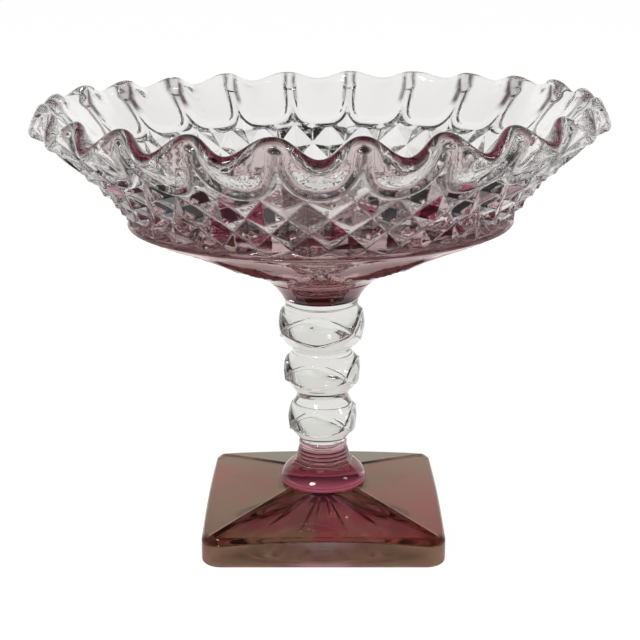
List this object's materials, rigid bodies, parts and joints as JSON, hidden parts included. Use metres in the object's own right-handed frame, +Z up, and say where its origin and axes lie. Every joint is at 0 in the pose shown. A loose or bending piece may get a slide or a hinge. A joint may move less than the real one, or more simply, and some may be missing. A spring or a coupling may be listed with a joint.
{
  "type": "footed compote bowl",
  "caption": "Pressed-glass footed compote: wide crimped bowl with fluted wall and diamond band on a knopped stem over a square sloped foot, for serving or display.",
  "frame": {"origin": "centre of the square foot, on the table plane", "axes": "+Z up along the stem, -Y towards the viewer of the picture, +X to the viewer's right"},
  "size_m": [0.1948, 0.1948, 0.1559],
  "materials": {
    "clear_glass": "fire-polished clear pressed glass, with a thin ruby stain on the rim and the diamond band",
    "ruby_glass": "fire-polished pressed glass under a ruby stain",
    "lustre_glass": "pressed glass under a ruby stain with a faint gold-green lustre"
  },
  "bodies": {
    "root": {"foot": "lustre_glass", "foot_collar": "ruby_glass", "lower_knop": "clear_glass", "middle_knop": "clear_glass", "upper_knop": "clear_glass", "bowl_collar": "ruby_glass", "bowl": "clear_glass"}
  },
  "joints": []
}
